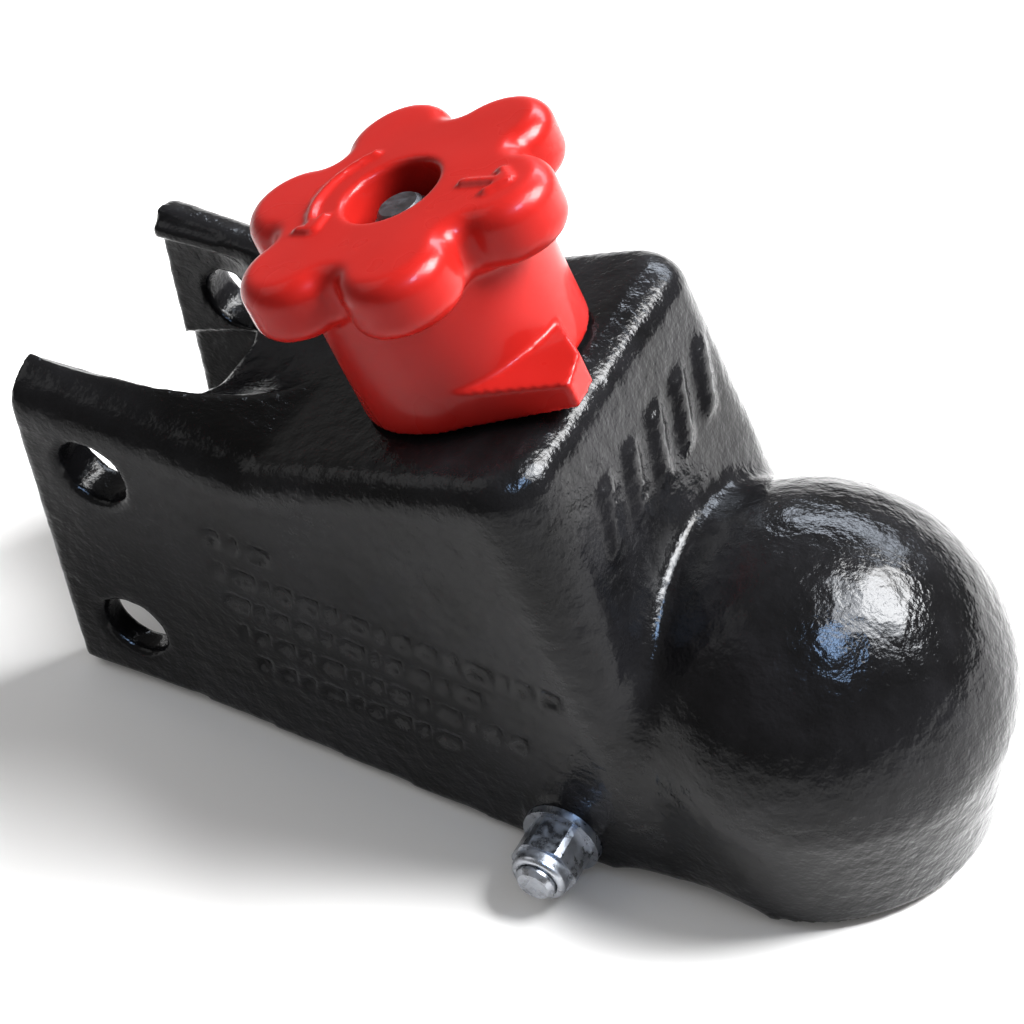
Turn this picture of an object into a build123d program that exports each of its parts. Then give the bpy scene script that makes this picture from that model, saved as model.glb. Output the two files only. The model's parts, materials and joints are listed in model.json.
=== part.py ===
"""Channel-mount trailer ball coupler with a half-turn hand knob.

A hollow iron casting carries a ball socket at the front and two bolted ears at the back. Inside it a
clamp swings on a cross bolt and grips the ball from behind. A red knob on the sloping deck turns a
spindle, whose snail cam pushes the top of the clamp forward to lock it.

Millimetres. The origin is the centre of the ball in the socket, +X points to the ball end, +Y to the
left and +Z up. The sloping head has its own directions: u runs up the slope of the deck and h stands
square to the deck, both measured from the foot of the knob's axis.
"""
from build123d import *
from math import atan2, cos, degrees, hypot, radians, sin, sqrt
import os

os.makedirs("parts", exist_ok=True)

# ---------------------------------------------------------------- casting
bottom_z = -30.2
rear_x = -174.4
rear_half_width = 36.8
taper_start_x = -140.0
flare_x = -40.0
flare_half_width = 43.0
cheek_y = 43.7
dome_radius = 45.3
skirt_foot_radius = 42.8
dome_blend_angle = 4.4
tilt = 20.0
crown_x, crown_z = -43.8, 81.0
ear_top_rear_z = 61.0
ear_meets_deck_x = -112.0
ear_front_x = -100.0
ear_round = 10.0
front_corner_radius = 13.0
edge_round = 8.0

# ---------------------------------------------------------------- hollow of the casting
socket_radius = 30.0
ear_inner_half = 26.0
valley_corner = 24.0
deck_end_x = -139.0
bay_corner = 21.0
deck_thickness = 10.5
cavity_half_rear = 29.0
cavity_half_front = 33.0
socket_back_u = 8.5
ear_step_z = 29.5
lip_bottom_z = 54.5
lip_depth = 2.8
lip_front_x = -140.0
boss_radius = 19.0
boss_bottom_h = -22.0
pocket_half = 18.5

# ---------------------------------------------------------------- bolts to the trailer
bolt_hole_x = -156.2
bolt_hole_centre_z = 13.2
bolt_hole_spacing = 50.8
bolt_hole_radius = 8.6

# ---------------------------------------------------------------- knob and spindle
knob_setback = 33.0
knob_base_h = 1.0
skirt_radius = 25.8
skirt_inner = 21.5
hub_radius = 12.5
disc_bottom_h = 30.0
knob_top_h = 44.2
hollow_top_h = 25.0
pointer_height = 9.0
pointer_slope = 0.26
lobe_count = 6
lobe_radius = 12.0
lobe_centre = 25.5
notch_radius = 3.5
disc_edge_round = 4.5
recess_radius = 10.5
recess_floor_h = 27.0
spindle_radius = 8.0
thread_radius = 5.0
spindle_shoulder_h = 20.0
spindle_top_h = 40.5
running_gap = 0.05
bushing_radius = 11.0
bushing_flange_radius = 13.5
key_size = 5.0
stop_radius = 17.0
stop_pin_radius = 2.5
stop_pin_top_h = 7.0
stop_rib = 3.0

# ---------------------------------------------------------------- clamp and its pivot
pivot_x, pivot_z = -40.3, -22.8
bolt_radius = 4.75
spot_face_radius = 9.8
bush_radius = 5.9
clamp_hub_radius = 7.2
clamp_half = 16.0
clamp_grip_radius = 29.9
nose_z = -13.0
pad_radius = 6.0
pad_half = 6.0
swing = 17.3
turn = 180.0
cam_gap = 0.3
cam_bottom_h, cam_top_h = -66.0, -50.0
hub_top_h = -38.0
stub_radius = 4.5
stub_end_h = -65.0

# ---------------------------------------------------------------- planes of the sloping head
up_slope = Vector(cos(radians(tilt)), 0, sin(radians(tilt)))
off_deck = Vector(-sin(radians(tilt)), 0, cos(radians(tilt)))
foot = Vector(crown_x, 0, crown_z) - up_slope * knob_setback
knob_plane = Plane(origin=foot, x_dir=up_slope, z_dir=off_deck)
slice_plane = Plane(origin=foot, x_dir=up_slope, z_dir=(0, -1, 0))


def to_slice(x, z):
    """A point of the middle plane, as its u and h."""
    offset = Vector(x, 0, z) - foot
    return offset.dot(up_slope), offset.dot(off_deck)


ball_u, ball_h = to_slice(0, 0)
pivot_u, pivot_h = to_slice(pivot_x, pivot_z)
pieces = {}


def turned(plane, steps, bore=0.0):
    """A turned piece: stacked discs given as (low, high, radius), with one bore."""
    with BuildPart() as piece:
        for low, high, radius in steps:
            with BuildSketch(plane.offset(low)):
                Circle(radius)
                if bore > 0:
                    Circle(bore, mode=Mode.SUBTRACT)
            extrude(amount=high - low)
    return piece


def round_ended(radius, low_z, low_radius):
    """A plug on the ball's axis: a skirt from low_z to the ball's centre, then a half sphere."""
    with BuildPart() as plug:
        with BuildSketch(Plane.XZ):
            with BuildLine():
                skirt = Polyline((0, low_z), (low_radius, low_z), (radius, 0))
                cap = RadiusArc(skirt @ 1, (0, radius), -radius)
                Line(cap @ 1, skirt @ 0)
            make_face()
        revolve(axis=Axis.Z)
    return plug


# ================================================================ coupler body
tangent_x = skirt_foot_radius * sin(radians(dome_blend_angle))
tangent_y = skirt_foot_radius * cos(radians(dome_blend_angle))
slope = sin(radians(tilt)) / cos(radians(tilt))
ear_meets_deck_z = crown_z + (ear_meets_deck_x - crown_x) * slope
ear_top_slope = (ear_meets_deck_z - ear_top_rear_z) / (ear_meets_deck_x - rear_x)

with BuildPart() as hollow:
    # The wide space behind the socket, open at the bottom and the back.
    with BuildSketch(Plane.XY.offset(bottom_z - 10)):
        with BuildLine():
            Polyline(
                (rear_x - 10, cavity_half_rear),
                (taper_start_x, cavity_half_rear),
                (flare_x, cavity_half_front),
                (0, cavity_half_front),
                (0, -cavity_half_front),
                (flare_x, -cavity_half_front),
                (taper_start_x, -cavity_half_rear),
                (rear_x - 10, -cavity_half_rear),
                close=True,
            )
        make_face()
    extrude(amount=130)
    with BuildSketch(slice_plane):
        with BuildLine():
            Polyline(
                (-150, -deck_thickness),
                (20, -deck_thickness),
                (20, -45),
                (socket_back_u, -70),
                (socket_back_u, -150),
                (-150, -150),
                close=True,
            )
        make_face()
    extrude(amount=60, both=True, mode=Mode.INTERSECT)
    # The lower part of the ears is thinner than the part above the step.
    with Locations((rear_x, 0, ear_step_z)):
        Box(80, 2 * cavity_half_rear + 2, 60, align=(Align.CENTER, Align.CENTER, Align.MIN), mode=Mode.SUBTRACT)
    with BuildSketch(slice_plane):
        with BuildLine():
            Polyline(
                (-150, -deck_thickness),
                (-52, -deck_thickness),
                (-52, -60),
                (-150, -60),
                close=True,
            )
        make_face()
    extrude(amount=ear_inner_half, both=True)


def casting_slice(x_back, x_front, top_at_back, top_at_front):
    """The casting's solid outline between two stations, under one straight top line."""
    with BuildPart() as block:
        with BuildSketch(Plane.XY.offset(bottom_z)):
            with BuildLine():
                side = Polyline(
                    (rear_x, 0),
                    (rear_x, rear_half_width),
                    (taper_start_x, rear_half_width),
                    (flare_x, flare_half_width),
                )
                cheek = TangentArc(side @ 1, (tangent_x, tangent_y), tangent=side % 1)
                ThreePointArc(
                    cheek @ 1,
                    (skirt_foot_radius * cos(radians(45)), skirt_foot_radius * sin(radians(45))),
                    (skirt_foot_radius, 0),
                )
                mirror(about=Plane.XZ)
            make_face()
        extrude(amount=crown_z - bottom_z + 5)
        front_x = x_front + (top_at_front - bottom_z) * slope
        with BuildSketch(Plane.XZ):
            Polygon(
                (x_back, bottom_z),
                (x_back, top_at_back),
                (x_front, top_at_front),
                (front_x, bottom_z),
                align=None,
            )
        extrude(amount=60, both=True, mode=Mode.INTERSECT)
    return block


def ear_top(x):
    return ear_top_rear_z + (x - rear_x) * ear_top_slope


ear_slices = []
for x_back, x_front in ((rear_x, taper_start_x), (taper_start_x, ear_front_x)):
    ear_slice = casting_slice(x_back, x_front, ear_top(x_back), ear_top(x_front))
    with ear_slice:
        top = ear_slice.faces().sort_by(Axis.Z)[-1]
        fillet(top.edges().filter_by(lambda e: abs(e.center().Y) > 30), radius=ear_round)
    ear_slices.append(ear_slice)

head = casting_slice(taper_start_x, crown_x, crown_z + (taper_start_x - crown_x) * slope, crown_z)
with head:
    front = head.faces().sort_by(Axis(foot, up_slope))[-1]
    fillet(front.edges().filter_by(lambda e: abs(e.center().Y) > 40), radius=front_corner_radius)
    deck = head.faces().sort_by(Axis(foot, off_deck))[-1]
    fillet(deck.edges().filter_by(lambda e: e.center().X > taper_start_x + 5), radius=edge_round)

with BuildPart() as coupler_body:
    add(head.part)
    for ear_slice in ear_slices:
        add(ear_slice.part)
    add(round_ended(dome_radius, bottom_z, skirt_foot_radius).part)
    # Valley between the ears, above the deck, with round corners.
    with BuildSketch(Plane(knob_plane.origin - up_slope * 150, x_dir=(0, 1, 0), z_dir=up_slope)):
        with Locations((0, 0)):
            Rectangle(2 * ear_inner_half, 120, align=(Align.CENTER, Align.MIN))
        fillet(vertices().group_by(Axis.Z)[0], radius=valley_corner)
    extrude(amount=150 + knob_setback + 20, mode=Mode.SUBTRACT)
    # Open the gap between the ears; the deck ends in a round bay between them.
    with BuildSketch(Plane.XY.offset(20)):
        with Locations((deck_end_x, 0)):
            Rectangle(80, 2 * ear_inner_half, align=(Align.MAX, Align.CENTER))
        fillet(vertices().group_by(Axis.X)[-1], radius=bay_corner)
    extrude(amount=70, mode=Mode.SUBTRACT)
    # Flat bosses on the cheeks for the washers of the pivot bolt.
    with BuildSketch(Plane.XZ):
        with Locations((pivot_x, pivot_z)):
            Circle(spot_face_radius)
    extrude(amount=cheek_y, both=True)
    split(bisect_by=Plane.XY.offset(bottom_z), keep=Keep.TOP)
    add(hollow.part, mode=Mode.SUBTRACT)
    # Inward lips along the top of the ears.
    with BuildSketch(Plane(origin=(rear_x, 0, 0), z_dir=(1, 0, 0), x_dir=(0, 1, 0))):
        with Locations((ear_inner_half, lip_bottom_z)):
            Rectangle(2 * lip_depth, 3.5, align=(Align.CENTER, Align.MIN))
        with Locations((-ear_inner_half, lip_bottom_z)):
            Rectangle(2 * lip_depth, 3.5, align=(Align.CENTER, Align.MIN))
    extrude(amount=lip_front_x - rear_x)
    # Boss round the spindle under the deck.
    with BuildSketch(knob_plane.offset(boss_bottom_h)):
        Circle(boss_radius)
    extrude(amount=-boss_bottom_h - 5)
    # Pocket through which the clamp reaches the ball.
    with BuildSketch(slice_plane):
        with BuildLine():
            Polyline(
                (0, -130), (34, -130), (34, -75), (27, -60), (26, -54), (20, -47), (0, -47),
                close=True,
            )
        make_face()
    extrude(amount=pocket_half, both=True, mode=Mode.SUBTRACT)
    # Ball socket: a half sphere over a straight mouth.
    add(round_ended(socket_radius, bottom_z - 1, socket_radius).part, mode=Mode.SUBTRACT)
    # Bushing bore, knob seal recess and stop pin hole in the deck.
    for radius, low, high in (
        (bushing_radius, boss_bottom_h - 1, 1),
        (bushing_flange_radius, -3, 1),
    ):
        with BuildSketch(knob_plane.offset(low)):
            Circle(radius)
        extrude(amount=high - low, mode=Mode.SUBTRACT)
    with BuildSketch(knob_plane.offset(-8)):
        with Locations((0, -stop_radius)):
            Circle(stop_pin_radius)
    extrude(amount=9, mode=Mode.SUBTRACT)
    # Cross holes for the trailer bolts and for the clamp's pivot.
    with BuildSketch(Plane.XZ):
        with Locations((bolt_hole_x, bolt_hole_centre_z)):
            with GridLocations(1, bolt_hole_spacing, 1, 2):
                Circle(bolt_hole_radius)
        with Locations((pivot_x, pivot_z)):
            Circle(bolt_radius + 0.15)
    extrude(amount=60, both=True, mode=Mode.SUBTRACT)
pieces["coupler_body"] = coupler_body

# ================================================================ knob
valley_centre = lobe_centre * cos(radians(30)) + sqrt(
    (lobe_radius + notch_radius) ** 2 - (lobe_centre * sin(radians(30))) ** 2
)


def on_knob(radius, angle):
    """A point of the knob's plan, by distance from its axis and angle in degrees."""
    return Vector(radius * cos(radians(angle)), radius * sin(radians(angle)), 0)


pointer_root = foot + up_slope * 9 + Vector(0, -24, 0) + off_deck * (knob_base_h + pointer_height)
pointer_crease = (up_slope * 16 + Vector(0, 13, 0)).normalized()
pointer_fall = (off_deck + pointer_crease.cross(off_deck) * pointer_slope).normalized()
pointer_top = Plane(origin=pointer_root, x_dir=pointer_crease, z_dir=pointer_fall)

# Pointer at the foot of the skirt, its top sloping down and out to the tip.
with BuildPart() as pointer:
    with BuildSketch(knob_plane.offset(knob_base_h)):
        Polygon((3.3, -25.4), (36, -17), (35, -9), (25.6, 0), (0, 0), align=None)
    extrude(amount=pointer_height)
    split(bisect_by=pointer_top, keep=Keep.BOTTOM)

with BuildPart() as hand_knob:
    with BuildSketch(knob_plane.offset(disc_bottom_h)):
        with BuildLine():
            for lobe in range(lobe_count):
                middle = 360 / lobe_count * lobe
                centre = on_knob(lobe_centre, middle)
                before = on_knob(valley_centre, middle - 30)
                after = on_knob(valley_centre, middle + 30)
                start = centre + (before - centre).normalized() * lobe_radius
                end = centre + (after - centre).normalized() * lobe_radius
                ThreePointArc(start, on_knob(lobe_centre + lobe_radius, middle), end)
                next_centre = on_knob(lobe_centre, middle + 60)
                next_start = next_centre + (after - next_centre).normalized() * lobe_radius
                ThreePointArc(end, on_knob(valley_centre - notch_radius, middle + 30), next_start)
        make_face()
    extrude(amount=knob_top_h - disc_bottom_h)
    rims = hand_knob.faces().sort_by(Axis(foot, off_deck))
    fillet(rims[0].edges() + rims[-1].edges(), radius=disc_edge_round)
    with BuildSketch(knob_plane.offset(knob_base_h)):
        Circle(skirt_radius)
    extrude(amount=disc_bottom_h - knob_base_h + 3)
    add(pointer.part)
    # Hollow skirt round a hub.
    with BuildSketch(knob_plane.offset(knob_base_h)):
        Circle(skirt_inner)
        Circle(hub_radius, mode=Mode.SUBTRACT)
    extrude(amount=hollow_top_h - knob_base_h, mode=Mode.SUBTRACT)
    # Two ribs in the hollow that meet the stop pin at the ends of the half turn.
    rib_offset = degrees((stop_pin_radius + stop_rib / 2 + 0.15) / stop_radius)
    with BuildSketch(knob_plane.offset(knob_base_h + 0.5)):
        for angle in (-90 + rib_offset, 90 - rib_offset):
            with Locations(Location(on_knob(stop_radius, angle), (0, 0, angle))):
                Rectangle(skirt_inner - hub_radius + 2, stop_rib)
    extrude(amount=hollow_top_h - knob_base_h - 0.5)
    # Recess for the nut, bore for the spindle and slot for the key.
    for radius, low, high in (
        (recess_radius, recess_floor_h, knob_top_h + 1),
        (thread_radius + running_gap, 0, recess_floor_h + 1),
        (spindle_radius + running_gap, 0, spindle_shoulder_h),
    ):
        with BuildSketch(knob_plane.offset(low)):
            Circle(radius)
        extrude(amount=high - low, mode=Mode.SUBTRACT)
    recess_rims = hand_knob.edges().filter_by(GeomType.CIRCLE).filter_by(
        lambda e: abs(e.radius - recess_radius) < 0.01
    )
    fillet(recess_rims.sort_by(Axis(foot, off_deck))[-1], radius=1.5)
    with BuildSketch(knob_plane.offset(4)):
        with Locations((-spindle_radius, 0)):
            Rectangle(key_size, key_size)
    extrude(amount=12, mode=Mode.SUBTRACT)
pieces["hand_knob"] = hand_knob

with BuildPart() as spindle:
    for low, high, radius in (
        (stub_end_h, hub_top_h, stub_radius),
        (hub_top_h, -24.2, 11.0),
        (-24.2, spindle_shoulder_h, spindle_radius),
        (spindle_shoulder_h, spindle_top_h, thread_radius),
    ):
        with BuildSketch(knob_plane.offset(low)):
            Circle(radius)
        extrude(amount=high - low)
    chamfer(spindle.edges().filter_by(GeomType.CIRCLE).sort_by(Axis(foot, off_deck))[-1], length=0.8)
    with BuildSketch(knob_plane.offset(4)):
        with Locations((-spindle_radius, 0)):
            Rectangle(key_size, key_size)
    extrude(amount=12, mode=Mode.SUBTRACT)
    with BuildSketch(Plane(knob_plane.origin + off_deck * -44, x_dir=up_slope, z_dir=(0, 1, 0))):
        Circle(1.5)
    extrude(amount=20, both=True, mode=Mode.SUBTRACT)
pieces["spindle"] = spindle

with BuildPart() as knob_key:
    with BuildSketch(knob_plane.offset(4)):
        with Locations((-spindle_radius, 0)):
            Rectangle(key_size, key_size)
    extrude(amount=12)
pieces["knob_key"] = knob_key


def lock_nut(plane, across, body_height, total_height, bore, ring_radius):
    """A hex nut with a round collar, hollow inside the collar for its nylon ring."""
    with BuildPart() as nut:
        with BuildSketch(plane):
            RegularPolygon(across / 2, 6, major_radius=False)
        extrude(amount=body_height)
        with BuildSketch(plane):
            Circle(across / 2 + 0.7)
        extrude(amount=body_height, mode=Mode.INTERSECT)
        with BuildSketch(plane.offset(body_height)):
            Circle(across / 2 - 0.6)
        extrude(amount=total_height - body_height)
        collar = nut.edges().filter_by(GeomType.CIRCLE).sort_by(Axis(plane.origin, plane.z_dir))[-1]
        fillet(collar, radius=1.2)
        with BuildSketch(plane):
            Circle(bore)
        extrude(amount=total_height, mode=Mode.SUBTRACT)
        with BuildSketch(plane.offset(body_height)):
            Circle(ring_radius)
        extrude(amount=total_height - body_height - 0.8, mode=Mode.SUBTRACT)
        with BuildSketch(plane.offset(total_height - 1)):
            Circle(ring_radius - 0.8)
        extrude(amount=1, mode=Mode.SUBTRACT)
    return nut


pieces["knob_washer"] = turned(knob_plane, [(recess_floor_h, recess_floor_h + 1.6, 9.8)], thread_radius + 0.3)
knob_nut_h = recess_floor_h + 1.6
pieces["spindle_nut"] = lock_nut(knob_plane.offset(knob_nut_h), 15.0, 6.5, 9.5, thread_radius, 6.0)
pieces["spindle_nut_insert"] = turned(
    knob_plane, [(knob_nut_h + 6.5, knob_nut_h + 8.7, 6.0)], thread_radius
)
pieces["deck_bushing"] = turned(
    knob_plane,
    [(boss_bottom_h, -3, bushing_radius), (-3, -1, bushing_flange_radius)],
    spindle_radius + running_gap,
)
pieces["knob_seal"] = turned(knob_plane, [(-1, 0.6, bushing_flange_radius)], spindle_radius + 0.3)
pieces["thrust_washer"] = turned(knob_plane, [(-24.2, boss_bottom_h - 0.2, 15.0)], spindle_radius + 0.1)
with BuildPart() as stop_pin:
    with BuildSketch(knob_plane.offset(-8)):
        with Locations((0, -stop_radius)):
            Circle(stop_pin_radius)
    extrude(amount=8 + stop_pin_top_h)
    chamfer(stop_pin.edges().sort_by(Axis(foot, off_deck))[-1], length=0.6)
pieces["stop_pin"] = stop_pin

# ================================================================ snail cam
# The pad at the top of the clamp is a ball of pad_radius. The cam is the inner offset of the pad
# centre's path over the half turn, so the pad stays cam_gap clear of it at every angle.
pad_u, pad_h = 24.5, -63.0
arm_length = hypot(pad_u - pivot_u, pad_h - pivot_h)
arm_angle = degrees(atan2(pad_u - pivot_u, pad_h - pivot_h))


def pad_centre(angle):
    """Centre of the clamp's pad as the cam sees it, after the knob has turned by angle."""
    lean = arm_angle - swing * angle / turn
    return on_knob(pivot_u + arm_length * sin(radians(lean)), -angle)


def cam_point(angle):
    ahead = pad_centre(angle - 1) - pad_centre(angle + 1)
    outward = Vector(ahead.Y, -ahead.X, 0).normalized()
    return pad_centre(angle) - outward * (pad_radius + cam_gap)


cam_profile = [cam_point(angle) for angle in range(-8, 189, 14)]
with BuildPart() as snail_cam:
    with BuildSketch(knob_plane.offset(cam_bottom_h)):
        with BuildLine():
            snail = Spline(*cam_profile)
            ThreePointArc(snail @ 1, on_knob(12.0, 75), snail @ 0)
        make_face()
    extrude(amount=cam_top_h - cam_bottom_h)
    with BuildSketch(knob_plane.offset(cam_top_h)):
        Circle(10)
    extrude(amount=hub_top_h - cam_top_h)
    with BuildSketch(knob_plane.offset(cam_bottom_h - 1)):
        Circle(stub_radius + 0.02)
    extrude(amount=40, mode=Mode.SUBTRACT)
    with BuildSketch(Plane(knob_plane.origin + off_deck * -44, x_dir=up_slope, z_dir=(0, 1, 0))):
        Circle(1.5)
    extrude(amount=20, both=True, mode=Mode.SUBTRACT)
pieces["snail_cam"] = snail_cam
with BuildPart() as cam_pin:
    with BuildSketch(Plane(knob_plane.origin + off_deck * -44, x_dir=up_slope, z_dir=(0, 1, 0))):
        Circle(1.5)
    extrude(amount=9.5, both=True)
pieces["cam_pin"] = cam_pin

# ================================================================ ball clamp
spring_radius = 6.85
spring_wire_radius = 0.5
spring_start_y = 17.3
spring_length = 12.6
spring_turns = 7
spring_front = Vector(pivot_x, 0, pivot_z) + up_slope * spring_radius
spring_hook = spring_front + off_deck * 13 + Vector(0, spring_start_y, 0)
with BuildPart() as ball_clamp:
    with BuildSketch(slice_plane):
        with BuildLine():
            Polyline(
                (-5.5, -101), (-5, -92), (2, -80), (11, -73.5), (pad_u - 4.5, -66.8),
                (pad_u - 2, -58.5), (27, -58.5), (32, -66), (32, -112), (8, -108),
                close=True,
            )
        make_face()
        with Locations((pivot_u, pivot_h)):
            Circle(clamp_hub_radius)
    extrude(amount=clamp_half, both=True)
    # Only the narrow pad reaches up to the cam.
    for side_of_pad in (-1, 1):
        with Locations(Plane(origin=foot + off_deck * -69, x_dir=up_slope, z_dir=off_deck).location):
            with Locations((0, side_of_pad * (pad_half + 15), 0)):
                Box(100, 30, 30, align=(Align.CENTER, Align.CENTER, Align.MIN), mode=Mode.SUBTRACT)
    with Locations(foot + up_slope * pad_u + off_deck * pad_h):
        Sphere(pad_radius)
    with BuildSketch(slice_plane):
        Polygon((26, -40), (26, -61.5), (31, -74), (50, -74), (50, -40), align=None)
    extrude(amount=30, both=True, mode=Mode.SUBTRACT)
    # Front face that follows the ball, with a lead-in below the nose.
    nose_radius = sqrt(clamp_grip_radius**2 - nose_z**2)
    with BuildSketch(Plane.XZ):
        with BuildLine():
            top_arc = ThreePointArc(
                (0, clamp_grip_radius + 0.3),
                ((clamp_grip_radius + 0.3) * cos(radians(45)), (clamp_grip_radius + 0.3) * sin(radians(45))),
                (nose_radius, nose_z),
            )
            Polyline(top_arc @ 1, (nose_radius + 6.5, nose_z - 12), (nose_radius + 6.5, -50), (0, -50), top_arc @ 0)
        make_face()
    revolve(axis=Axis.Z, mode=Mode.SUBTRACT)
    with BuildSketch(Plane.XZ):
        with Locations((pivot_x, pivot_z)):
            Circle(bush_radius)
    extrude(amount=30, both=True, mode=Mode.SUBTRACT)
    # Flat underside, just above the bottom of the casting.
    with Locations((0, 0, bottom_z + 0.3)):
        Box(200, 100, 30, align=(Align.CENTER, Align.CENTER, Align.MAX), mode=Mode.SUBTRACT)
    # Hole for the end of the return spring.
    with BuildSketch(Plane(origin=spring_hook, x_dir=up_slope, z_dir=(0, 1, 0))):
        Circle(spring_wire_radius + 0.1)
    extrude(amount=-20, mode=Mode.SUBTRACT)
pieces["ball_clamp"] = ball_clamp

# ================================================================ pivot
pivot_far = Plane(origin=(pivot_x, 0, pivot_z), x_dir=(1, 0, 0), z_dir=(0, 1, 0))
pivot_near = Plane(origin=(pivot_x, 0, pivot_z), x_dir=(1, 0, 0), z_dir=(0, -1, 0))
washer_thickness = 2.0
pieces["clamp_bushing"] = turned(
    pivot_far.offset(-clamp_half), [(0, 2 * clamp_half, bush_radius)], bolt_radius + running_gap
)
for name, plane in (("pivot_head_washer", pivot_far), ("pivot_nut_washer", pivot_near)):
    pieces[name] = turned(plane, [(cheek_y, cheek_y + washer_thickness, 9.2)], bolt_radius + 0.2)
nut_y = cheek_y + washer_thickness
pieces["pivot_nut"] = lock_nut(pivot_near.offset(nut_y), 14.3, 8.3, 11.6, bolt_radius, 5.8)
pieces["pivot_nut_insert"] = turned(pivot_near, [(nut_y + 8.3, nut_y + 10.8, 5.8)], bolt_radius)
with BuildPart() as pivot_bolt:
    with BuildSketch(pivot_near.offset(-nut_y)):
        Circle(bolt_radius)
    extrude(amount=2 * nut_y + 13.5)
    chamfer(pivot_bolt.edges().sort_by(Axis.Y)[0], length=1.0)
    with BuildSketch(pivot_far.offset(nut_y)):
        RegularPolygon(7.15, 6, major_radius=False)
    extrude(amount=6.2)
pieces["pivot_bolt"] = pivot_bolt
with BuildPart() as pivot_spacers:
    for plane in (pivot_far, pivot_near):
        with BuildSketch(plane.offset(clamp_half + 0.3)):
            Circle(6.0)
            Circle(bolt_radius + 0.1, mode=Mode.SUBTRACT)
        extrude(amount=cavity_half_front - clamp_half - 0.6)
pieces["pivot_spacers"] = pivot_spacers

# Return spring: a coil round one spacer, hooked into the clamp and resting on the socket's back.
spring_plane = Plane(origin=(pivot_x, spring_start_y, pivot_z), x_dir=up_slope, z_dir=(0, 1, 0))
coil = Edge.make_helix(spring_length / spring_turns, spring_length, spring_radius).moved(spring_plane.location)
with BuildPart() as clamp_spring:
    with BuildSketch(Plane(origin=coil @ 0, z_dir=coil % 0)):
        Circle(spring_wire_radius)
    sweep(path=coil, is_frenet=True)
    for leg_y, leg_length in ((spring_start_y, 13.3), (spring_start_y + spring_length, 22)):
        with BuildSketch(Plane(origin=spring_front + Vector(0, leg_y, 0), x_dir=(0, 1, 0), z_dir=off_deck)):
            Circle(spring_wire_radius)
        extrude(amount=leg_length)
    with BuildSketch(Plane(origin=spring_hook, x_dir=up_slope, z_dir=(0, -1, 0))):
        Circle(spring_wire_radius)
    extrude(amount=4)
pieces["clamp_spring"] = clamp_spring

for name, piece in pieces.items():
    piece.part.label = name
    export_step(piece.part, f"parts/{name}.step")
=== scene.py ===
"""Looks for the channel-mount trailer ball coupler: gloss black cast body, gloss red hand knob, plated
hardware. All lengths are in metres, in the CAD frame: origin at the ball's centre, +X to the ball end."""
import json
import math

import bmesh
import bpy
import numpy as np
from mathutils import Matrix, Vector, noise


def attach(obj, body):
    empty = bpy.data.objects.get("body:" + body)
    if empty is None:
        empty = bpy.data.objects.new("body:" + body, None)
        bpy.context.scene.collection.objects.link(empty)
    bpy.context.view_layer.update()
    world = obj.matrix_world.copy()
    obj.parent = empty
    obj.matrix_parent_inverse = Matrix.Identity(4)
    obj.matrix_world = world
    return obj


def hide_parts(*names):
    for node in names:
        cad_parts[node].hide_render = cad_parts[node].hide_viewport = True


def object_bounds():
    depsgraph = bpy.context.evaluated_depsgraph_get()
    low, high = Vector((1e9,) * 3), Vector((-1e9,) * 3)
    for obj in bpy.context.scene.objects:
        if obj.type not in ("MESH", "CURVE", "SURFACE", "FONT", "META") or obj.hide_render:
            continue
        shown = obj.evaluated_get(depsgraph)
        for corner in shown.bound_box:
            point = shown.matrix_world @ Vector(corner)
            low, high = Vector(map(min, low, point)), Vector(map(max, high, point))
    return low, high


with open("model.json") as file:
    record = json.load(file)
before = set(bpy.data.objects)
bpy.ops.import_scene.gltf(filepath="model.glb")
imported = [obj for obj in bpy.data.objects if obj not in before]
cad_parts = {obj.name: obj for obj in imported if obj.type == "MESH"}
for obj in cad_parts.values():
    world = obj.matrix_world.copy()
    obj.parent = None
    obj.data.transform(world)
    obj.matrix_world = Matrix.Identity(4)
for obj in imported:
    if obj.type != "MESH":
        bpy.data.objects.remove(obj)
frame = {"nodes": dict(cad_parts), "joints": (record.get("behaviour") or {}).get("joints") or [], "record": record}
cad_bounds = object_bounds()
nodes = frame["nodes"]
joints = {joint["name"]: joint for joint in frame["joints"]}

MM = 0.001
DOME_RADIUS = 45.3 * MM
FRONT_SETBACK = 33.0 * MM  # the sloping front face, ahead of the knob's axis
KNOB_TOP = 44.2 * MM
REAR_HALF_WIDTH = 36.8 * MM
FLARE_HALF_WIDTH = 43.0 * MM
TAPER_START_X = -140 * MM
TAPER_LENGTH = 100 * MM
SIDE_TAPER = math.atan2(FLARE_HALF_WIDTH - REAR_HALF_WIDTH, TAPER_LENGTH)
BODY_VOXEL = 1.19 * MM
KNOB_VOXEL = 0.6 * MM

# ---------------------------------------------------------------- directions of the sloping head
FOOT = Vector(joints["knob_turn"]["pos_m"])
OFF_DECK = Vector(joints["knob_turn"]["axis"]).normalized()
ACROSS = Vector((0, 1, 0))
UP_SLOPE = ACROSS.cross(OFF_DECK)


def on_deck(u, y, h):
    """A point from its run up the slope, its place across and its height off the deck."""
    return FOOT + UP_SLOPE * u + ACROSS * y + OFF_DECK * h


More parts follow.
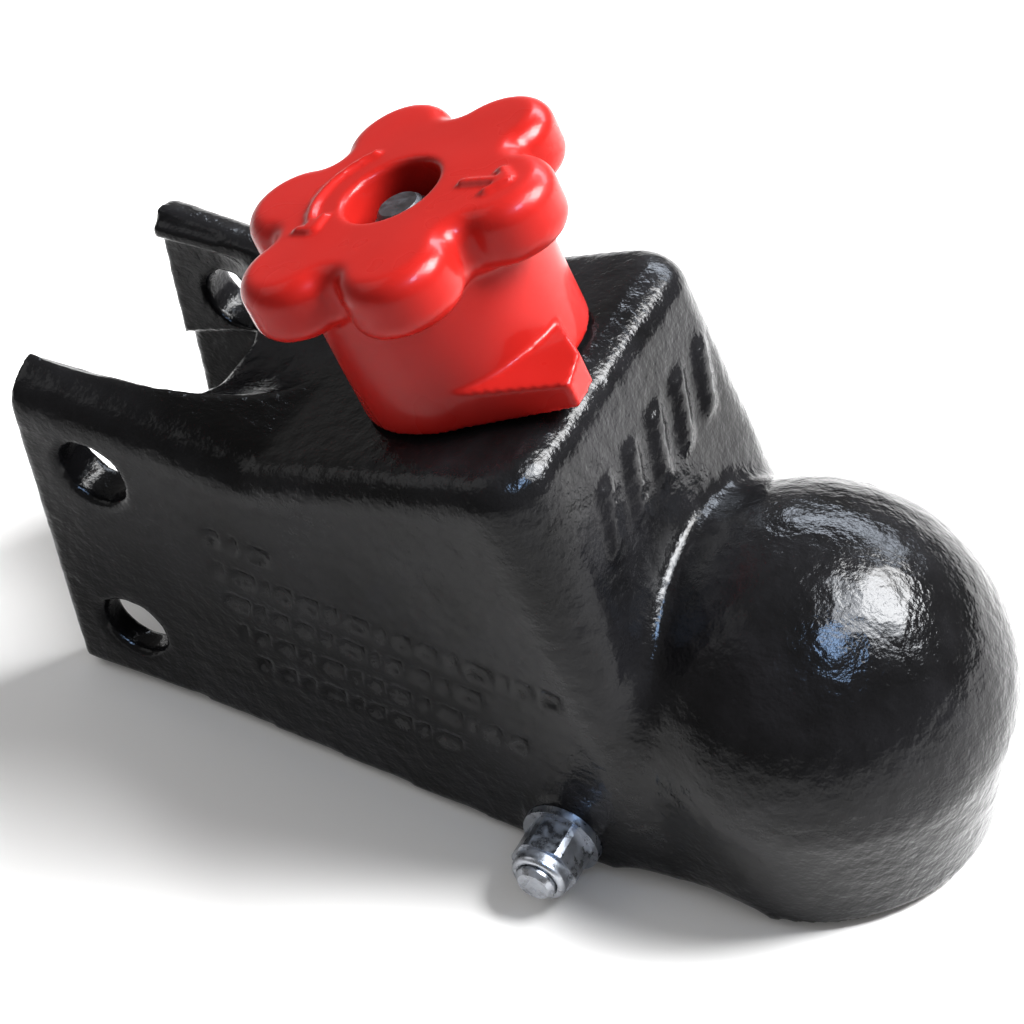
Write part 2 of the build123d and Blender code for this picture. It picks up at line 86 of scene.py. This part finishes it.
# ---------------------------------------------------------------- small mesh tools
def add_bar(bm, start, end, side, up, width, height, sink):
    """A closed bar from start to end, standing height above its surface and sunk below it."""
    side = side.normalized() * width / 2
    top_share = 0.8
    corners = []
    for point in (start, end):
        for level in (-sink, height):
            spread = side * (1.0 if level < 0 else top_share)
            corners.append([point - spread + up * level, point + spread + up * level])
    ring = [bm.verts.new(p) for pair in corners for p in pair]
    for quad in ((0, 1, 3, 2), (4, 6, 7, 5), (0, 4, 5, 1), (2, 3, 7, 6), (0, 2, 6, 4), (1, 5, 7, 3)):
        bm.faces.new([ring[i] for i in quad])


def evaluated_mesh(obj, name):
    depsgraph = bpy.context.evaluated_depsgraph_get()
    mesh = bpy.data.meshes.new_from_object(obj.evaluated_get(depsgraph))
    mesh.name = name
    return mesh


def remeshed(node, name, extra, voxel):
    """A copy of a CAD node, joined with extra closed shapes into one even skin."""
    bm = bmesh.new()
    bm.from_mesh(nodes[node].data)
    extra(bm)
    bmesh.ops.recalc_face_normals(bm, faces=bm.faces)
    raw = bpy.data.meshes.new(name)
    bm.to_mesh(raw)
    bm.free()
    obj = bpy.data.objects.new(name, raw)
    bpy.context.scene.collection.objects.link(obj)
    skin = obj.modifiers.new("skin", "REMESH")
    skin.mode = "VOXEL"
    skin.voxel_size = voxel
    mesh = evaluated_mesh(obj, name)
    obj.modifiers.clear()
    obj.data = mesh
    mesh.materials.clear()
    bpy.data.meshes.remove(raw)
    return obj


def coordinates(mesh):
    values = np.empty(len(mesh.vertices) * 3)
    mesh.vertices.foreach_get("co", values)
    return values.reshape(-1, 3)


def edge_pairs(mesh):
    pairs = np.empty(len(mesh.edges) * 2, dtype=int)
    mesh.edges.foreach_get("vertices", pairs)
    return pairs.reshape(-1, 2)


def neighbour_means(points, pairs):
    """The mean place of each point's neighbours along the edges."""
    count = np.bincount(pairs.ravel(), minlength=len(points))[:, None]
    total = np.zeros_like(points)
    for axis in range(3):
        total[:, axis] = np.bincount(
            pairs[:, 0], points[pairs[:, 1], axis], len(points)
        ) + np.bincount(pairs[:, 1], points[pairs[:, 0], axis], len(points))
    return total / np.maximum(count, 1)


def relaxed(mesh, weights, rounds, pulls):
    """Draws each point towards its neighbours, once for every pull in every round, by weight."""
    pairs = edge_pairs(mesh)
    points = coordinates(mesh)
    for pull in pulls * rounds:
        points += (neighbour_means(points, pairs) - points) * pull * weights[:, None]
    mesh.vertices.foreach_set("co", points.ravel())
    mesh.update()


def smoothed(mesh, rounds):
    """Smoothing all over that keeps the size, by a push back after each pull."""
    relaxed(mesh, np.ones(len(mesh.vertices)), rounds, (0.55, -0.56))


def eased(mesh, weights, rounds):
    """Plain smoothing, which rounds a crease off."""
    relaxed(mesh, weights, rounds, (0.6,))


def roughened(mesh, layers):
    """Moves the skin in and out by layers of noise, each (wavelength, height)."""
    points = coordinates(mesh)
    normals = np.empty(len(points) * 3)
    mesh.vertices.foreach_get("normal", normals)
    normals = normals.reshape(-1, 3)
    lift = np.zeros(len(points))
    for wavelength, height in layers:
        scaled = points / wavelength
        lift += height * np.array([noise.noise(Vector(p)) for p in scaled])
    mesh.vertices.foreach_set("co", (points + normals * lift[:, None]).ravel())
    mesh.update()


def finish_piece(obj, body, slot, material, *replaced):
    for polygon in obj.data.polygons:
        polygon.use_smooth = True
    obj.data.materials.clear()
    obj.data.materials.append(material)
    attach(obj, body)
    if replaced:
        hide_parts(*replaced)
    return obj


# ---------------------------------------------------------------- materials
def new_material(name, color, roughness, metallic=0.0, coat=0.0, coat_roughness=0.05, specular=0.5):
    material = bpy.data.materials.new(name)
    material.use_nodes = True
    shader = material.node_tree.nodes["Principled BSDF"]
    shader.inputs["Base Color"].default_value = (*color, 1)
    shader.inputs["Roughness"].default_value = roughness
    shader.inputs["Metallic"].default_value = metallic
    shader.inputs["Coat Weight"].default_value = coat
    shader.inputs["Coat Roughness"].default_value = coat_roughness
    shader.inputs["Specular IOR Level"].default_value = specular
    return material, material.node_tree, shader


def noise_node(tree, scale, detail=3.0, rough=0.5):
    place = tree.nodes.new("ShaderNodeTexCoord")
    texture = tree.nodes.new("ShaderNodeTexNoise")
    texture.inputs["Scale"].default_value = scale
    texture.inputs["Detail"].default_value = detail
    texture.inputs["Roughness"].default_value = rough
    tree.links.new(place.outputs["Object"], texture.inputs["Vector"])
    return texture


def ramp(tree, source, low, high, low_at=0.35, high_at=0.65):
    node = tree.nodes.new("ShaderNodeMapRange")
    node.inputs["From Min"].default_value = low_at
    node.inputs["From Max"].default_value = high_at
    node.inputs["To Min"].default_value = low
    node.inputs["To Max"].default_value = high
    tree.links.new(source, node.inputs["Value"])
    return node.outputs["Result"]


def color_mix(tree, source, dark, light, low_at=0.35, high_at=0.65):
    node = tree.nodes.new("ShaderNodeValToRGB")
    node.color_ramp.elements[0].position = low_at
    node.color_ramp.elements[0].color = (*dark, 1)
    node.color_ramp.elements[1].position = high_at
    node.color_ramp.elements[1].color = (*light, 1)
    tree.links.new(source, node.inputs["Fac"])
    return node.outputs["Color"]


def bump(tree, shader, layers):
    """Stacks bumps, each (height source, distance, strength), on the shader's normal."""
    previous = None
    for source, distance, strength in layers:
        node = tree.nodes.new("ShaderNodeBump")
        node.inputs["Distance"].default_value = distance
        node.inputs["Strength"].default_value = strength
        tree.links.new(source, node.inputs["Height"])
        if previous:
            tree.links.new(previous, node.inputs["Normal"])
        previous = node.outputs["Normal"]
    tree.links.new(previous, shader.inputs["Normal"])
    return previous


def black_iron_material():
    """Gloss black enamel flowed over the lumps and pits of a sand casting."""
    material, tree, shader = new_material(
        "black_iron", (0.006, 0.006, 0.007), 0.18, coat=0.05, coat_roughness=0.05, specular=0.09
    )
    lumps = noise_node(tree, 330, 2.0, 0.5)
    grain = noise_node(tree, 900, 2.0, 0.6)
    patches = noise_node(tree, 45, 3.0, 0.6)
    tint = color_mix(tree, patches.outputs["Fac"], (0.003, 0.003, 0.0033), (0.007, 0.007, 0.008))
    tree.links.new(tint, shader.inputs["Base Color"])
    tree.links.new(ramp(tree, patches.outputs["Fac"], 0.13, 0.21), shader.inputs["Roughness"])
    bump(
        tree,
        shader,
        [(lumps.outputs["Fac"], 0.0008, 0.35), (grain.outputs["Fac"], 0.0004, 0.35)],
    )
    return material


def red_knob_material():
    """Gloss red plastic with the faint waviness of a moulding."""
    material, tree, shader = new_material(
        "red_knob", (0.27, 0.008, 0.006), 0.28, coat=0.08, coat_roughness=0.06, specular=0.07
    )
    wave = noise_node(tree, 70, 2.0, 0.5)
    patches = noise_node(tree, 30, 2.0, 0.5)
    tint = color_mix(tree, patches.outputs["Fac"], (0.25, 0.007, 0.005), (0.29, 0.009, 0.007))
    tree.links.new(tint, shader.inputs["Base Color"])
    tree.links.new(ramp(tree, wave.outputs["Fac"], 0.26, 0.36), shader.inputs["Roughness"])
    bump(tree, shader, [(wave.outputs["Fac"], 0.0004, 0.25)])
    return material


def metal_material(name, dark, light, roughness, scale=500, metallic=1.0, strength=0.2):
    """Metal with cloudy plating, fine scratches and slight unevenness."""
    material, tree, shader = new_material(name, light, roughness, metallic=metallic)
    cloud = noise_node(tree, scale, 4.0, 0.6)
    fine = noise_node(tree, scale * 5, 3.0, 0.6)
    tint = color_mix(tree, cloud.outputs["Fac"], dark, light)
    tree.links.new(tint, shader.inputs["Base Color"])
    tree.links.new(
        ramp(tree, cloud.outputs["Fac"], roughness * 0.8, roughness * 1.4), shader.inputs["Roughness"]
    )
    bump(tree, shader, [(fine.outputs["Fac"], 0.0001, strength)])
    return material


black_iron = black_iron_material()
red_knob = red_knob_material()
plated_steel = metal_material("plated_steel", (0.25, 0.26, 0.28), (0.33, 0.345, 0.375), 0.28)
black_steel = metal_material("black_steel", (0.02, 0.02, 0.022), (0.05, 0.05, 0.055), 0.4, metallic=0.6)
clamp_iron = metal_material("clamp_iron", (0.09, 0.09, 0.095), (0.2, 0.2, 0.21), 0.5, 200, 0.8, 0.5)
bronze = metal_material("bronze", (0.42, 0.26, 0.10), (0.66, 0.46, 0.22), 0.4, 300)
rubber = metal_material("rubber", (0.015, 0.015, 0.015), (0.03, 0.03, 0.03), 0.7, 300, 0.0)
nylon = metal_material("nylon", (0.55, 0.60, 0.66), (0.78, 0.82, 0.84), 0.45, 300, 0.0)
BY_SLOT = {
    "black_iron": black_iron,
    "red_knob": red_knob,
    "plated_steel": plated_steel,
    "black_steel": black_steel,
    "clamp_iron": clamp_iron,
    "bronze": bronze,
    "rubber": rubber,
    "nylon": nylon,
}
for subpart in frame["record"]["subparts"]:
    cad_node = nodes[subpart["node"]]
    cad_node.data.materials.clear()
    cad_node.data.materials.append(BY_SLOT[subpart["material_slot"]])


# ---------------------------------------------------------------- cast body
def body_marks(bm):
    """Plain slanted bars on the front face."""
    first_y, pitch, slant = -20 * MM, 11.5 * MM, 3 * MM
    top_h, low_h = -19 * MM, -33 * MM
    for index in range(5):
        y = first_y + pitch * index
        top = on_deck(FRONT_SETBACK, y + slant, top_h)
        low = on_deck(FRONT_SETBACK, y - slant, low_h)
        add_bar(bm, top, low, ACROSS, UP_SLOPE, 5.0 * MM, 1.4 * MM, 1.5 * MM)


def sink_dashes(mesh):
    """Rows of plain sunk dashes on the near side, in millimetres along it from the start of its taper."""
    depth_mm, half_height, edge, gap = 1.1, 2.3, 0.8, 1.9
    lengths = (5.0, 3.0, 6.5, 2.2, 4.2)
    points = coordinates(mesh)
    along = (points[:, 0] - TAPER_START_X) / MM
    side = -REAR_HALF_WIDTH - along * MM * math.tan(SIDE_TAPER)
    on_side = abs(points[:, 1] - side) < 1.5 * MM
    depth = np.zeros(len(points))
    rows = ((12, 28, 32), (13, 102, 21.5), (15, 78, 12), (17, 94, 2.5), (20, 76, -7))
    for row, (first, last, z) in enumerate(rows):
        start = first
        step = row
        while start < last:
            length = lengths[step % len(lengths)]
            inside_x = length / 2 - abs(along - start - length / 2)
            inside_z = half_height - abs(points[:, 2] / MM - z)
            inside = np.clip(np.minimum(inside_x, inside_z) / edge, 0, 1)
            depth = np.maximum(depth, inside * inside * (3 - 2 * inside))
            start += length + gap
            step += 1
    points[:, 1] += np.where(on_side, depth * depth_mm * MM, 0)
    mesh.vertices.foreach_set("co", points.ravel())
    mesh.update()


def crease_weights(mesh):
    """Where the casting's creases are eased: the foot of the dome, and the cheeks beside it."""
    points = coordinates(mesh)
    u = (points - np.array(FOOT)) @ np.array(UP_SLOPE)
    above_centre = points.copy()
    above_centre[:, 2] = np.maximum(above_centre[:, 2], 0)
    off_dome = abs(np.linalg.norm(above_centre, axis=1) - DOME_RADIUS)
    off_crease = np.maximum(abs(u - FRONT_SETBACK), off_dome)
    at_crease = np.clip(1.6 - off_crease / (6.5 * MM), 0, 1)
    on_cheek = (abs(points[:, 1]) > 36 * MM) & (points[:, 0] > -34 * MM) & (u < FRONT_SETBACK)
    at_cheek = np.where(on_cheek, np.clip(1.6 - off_dome / (4.0 * MM), 0, 1), 0)
    return np.maximum(at_crease, at_cheek)


body = remeshed("coupler_body", "cast_body", body_marks, BODY_VOXEL)
smoothed(body.data, 2)
eased(body.data, np.ones(len(body.data.vertices)), 1)
eased(body.data, crease_weights(body.data), 60)
sink_dashes(body.data)
roughened(body.data, [(11 * MM, 0.16 * MM), (2.8 * MM, 0.13 * MM)])
finish_piece(body, "coupler", "black_iron", black_iron, "coupler_body")


# ---------------------------------------------------------------- hand knob
def add_stroke(bm, start, end, side):
    """One raised stroke on top of the knob."""
    add_bar(bm, start, end, side, OFF_DECK, 1.9 * MM, 1.0 * MM, 1 * MM)


def knob_marks(bm):
    """A straight arrow towards the front and a curved one round the recess."""
    tip = on_deck(30 * MM, 0, KNOB_TOP)
    tail = on_deck(18 * MM, 0, KNOB_TOP)
    add_stroke(bm, tail, tip, ACROSS)
    for side in (-1, 1):
        barb = on_deck(25.5 * MM, side * 4 * MM, KNOB_TOP)
        add_stroke(bm, barb, tip, (tip - barb).cross(OFF_DECK))
    radius, first_angle, sweep, steps = 17.5 * MM, 130, 100, 9
    ring = []
    for step in range(steps + 1):
        angle = math.radians(first_angle + sweep * step / steps)
        ring.append(on_deck(radius * math.cos(angle), radius * math.sin(angle), KNOB_TOP))
    for a, b in zip(ring, ring[1:]):
        add_stroke(bm, a, b, (b - a).cross(OFF_DECK))
    ahead = (ring[-1] - ring[-2]).normalized()
    beside = ahead.cross(OFF_DECK)
    for side in (-1, 1):
        barb = ring[-1] - ahead * 4 * MM + beside * side * 3.4 * MM
        add_stroke(bm, barb, ring[-1], (ring[-1] - barb).cross(OFF_DECK))


knob = remeshed("hand_knob", "red_hand_knob", knob_marks, KNOB_VOXEL)
smoothed(knob.data, 2)
eased(knob.data, np.ones(len(knob.data.vertices)), 1)
roughened(knob.data, [(14 * MM, 0.15 * MM)])
finish_piece(knob, "knob", "red_knob", red_knob, "hand_knob")


# ---------------------------------------------------------------- floor, light and camera
def add_floor():
    z = cad_bounds[0][2] - 0.0002
    mesh = bpy.data.meshes.new("floor")
    size = 3.0
    mesh.from_pydata(
        [(-size, -size, z), (size, -size, z), (size, size, z), (-size, size, z)], [], [(0, 1, 2, 3)]
    )
    floor = bpy.data.objects.new("floor", mesh)
    bpy.context.scene.collection.objects.link(floor)
    material, _, _ = new_material("floor", (0.93, 0.93, 0.93), 0.9, specular=0.1)
    mesh.materials.append(material)


def add_area(name, place, target, size, power, color=(1, 1, 1), only_glints=False):
    light = bpy.data.lights.new(name, "AREA")
    light.shape = "RECTANGLE"
    light.size, light.size_y = size
    light.energy = power
    light.color = color
    obj = bpy.data.objects.new(name, light)
    bpy.context.scene.collection.objects.link(obj)
    obj.location = place
    obj.rotation_euler = (Vector(target) - Vector(place)).to_track_quat("-Z", "Y").to_euler()
    obj.visible_diffuse = not only_glints


def add_world():
    world = bpy.data.worlds.new("studio")
    world.use_nodes = True
    background = world.node_tree.nodes["Background"]
    background.inputs["Color"].default_value = (1.0, 0.98, 0.96, 1)
    background.inputs["Strength"].default_value = 0.36
    bpy.context.scene.world = world


def add_camera():
    """The camera looks down at 45.6 degrees from the near right, slightly rolled."""
    azimuth, elevation, roll = math.radians(32.35), math.radians(45.59), math.radians(-7.26)
    back = Vector(
        (
            math.sin(azimuth) * math.cos(elevation),
            -math.cos(azimuth) * math.cos(elevation),
            math.sin(elevation),
        )
    )
    level = Vector((math.cos(azimuth), math.sin(azimuth), 0))
    upward = back.cross(level)
    right = level * math.cos(roll) + upward * math.sin(roll)
    up = upward * math.cos(roll) - level * math.sin(roll)
    camera_data = bpy.data.cameras.new("camera")
    camera_data.sensor_width = 36
    camera_data.lens = 92.47
    camera_data.clip_start = 0.01
    camera = bpy.data.objects.new("camera", camera_data)
    bpy.context.scene.collection.objects.link(camera)
    turn = Matrix((right, up, back)).transposed().to_4x4()
    camera.matrix_world = Matrix.Translation((0.14688, -0.34389, 0.44087)) @ turn
    bpy.context.scene.camera = camera


add_floor()
add_world()
add_area("key", (0.40, 0.38, 0.71), (0, 0, 0.02), (0.46, 0.42), 34.0)
add_area("window", (0.41, 0.22, 0.77), (0, 0, 0.02), (0.46, 0.66), 34.0, (0.90, 0.94, 1.0), True)
add_area("sky_patch", (0.29, -0.21, 0.78), (0, 0, 0.02), (0.16, 0.24), 8.0, (0.40, 0.62, 1.0), True)
add_area("left_window", (-0.75, -0.15, 0.65), (-0.05, 0, 0.02), (0.6, 0.5), 1.4)
add_area("back_strip", (-0.06, 0.66, 0.44), (0, 0, 0.02), (0.66, 0.15), 8.0, (0.80, 0.88, 1.0), True)
add_camera()
bpy.context.scene.view_settings.view_transform = "Standard"
